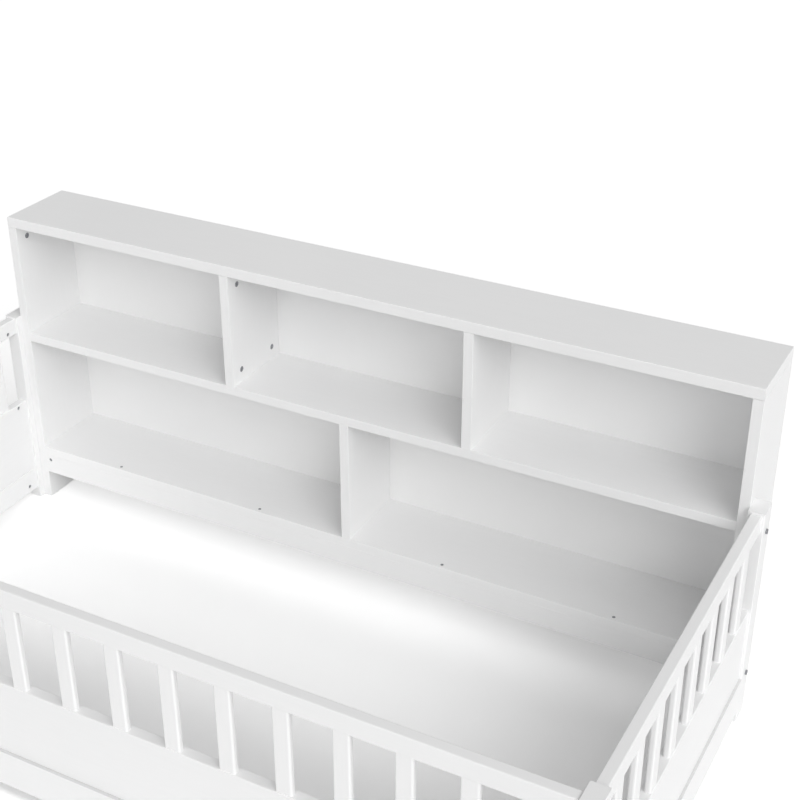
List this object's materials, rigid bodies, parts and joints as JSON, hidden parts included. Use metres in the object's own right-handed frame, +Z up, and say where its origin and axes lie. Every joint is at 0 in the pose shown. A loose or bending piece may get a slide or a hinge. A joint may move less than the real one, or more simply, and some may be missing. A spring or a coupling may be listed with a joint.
{
  "type": "bookcase headboard bed",
  "caption": "Low white floor bed with an open bookcase along one long side and a slatted fence with a wide lower board and an entry gap round the other sides.",
  "frame": {"origin": "on the floor under the middle of the footprint", "axes": "+X along the bookcase, towards the end away from the entry gap, +Y from the front fence to the bookcase back, +Z up"},
  "size_m": [2.104, 1.213, 0.862],
  "materials": {
    "white_paint": "satin white paint on solid wood boards",
    "painted_sheet": "white painted thin back sheet",
    "zinc_steel": "bright zinc plated",
    "glide_plastic": "matt pale plastic"
  },
  "bodies": {
    "root": {"bookcase_back_panel": "painted_sheet", "bookcase_bottom_board": "white_paint", "bookcase_divider_lower": "white_paint", "bookcase_divider_upper_left": "white_paint", "bookcase_divider_upper_right": "white_paint", "bookcase_front_strip": "white_paint", "bookcase_rear_strip": "white_paint", "bookcase_shelf": "white_paint", "bookcase_side_left": "white_paint", "bookcase_side_right": "white_paint", "bookcase_top_board": "white_paint", "cam_locks": "zinc_steel", "cam_pins": "zinc_steel", "case_screws": "zinc_steel", "cross_nuts": "zinc_steel", "end_left_lower_rail": "white_paint", "end_left_slat_01": "white_paint", "end_left_slat_02": "white_paint", "end_left_slat_03": "white_paint", "end_left_slat_04": "white_paint", "end_left_slat_05": "white_paint", "end_left_slat_06": "white_paint", "end_left_slat_07": "white_paint", "end_left_slat_08": "white_paint", "end_left_top_rail": "white_paint", "end_left_wide_board": "white_paint", "end_right_lower_rail": "white_paint", "end_right_slat_01": "white_paint", "end_right_slat_02": "white_paint", "end_right_slat_03": "white_paint", "end_right_slat_04": "white_paint", "end_right_slat_05": "white_paint", "end_right_slat_06": "white_paint", "end_right_slat_07": "white_paint", "end_right_slat_08": "white_paint", "end_right_top_rail": "white_paint", "end_right_wide_board": "white_paint", "foot_glides": "glide_plastic", "frame_bolts": "zinc_steel", "front_lower_rail": "white_paint", "front_slat_01": "white_paint", "front_slat_02": "white_paint", "front_slat_03": "white_paint", "front_slat_04": "white_paint", "front_slat_05": "white_paint", "front_slat_06": "white_paint", "front_slat_07": "white_paint", "front_slat_08": "white_paint", "front_slat_09": "white_paint", "front_slat_10": "white_paint", "front_slat_11": "white_paint", "front_top_rail": "white_paint", "front_wide_board": "white_paint", "post_entrance": "white_paint", "post_front_left": "white_paint", "post_front_right": "white_paint", "post_rear_left": "white_paint", "post_rear_right": "white_paint"}
  },
  "joints": []
}
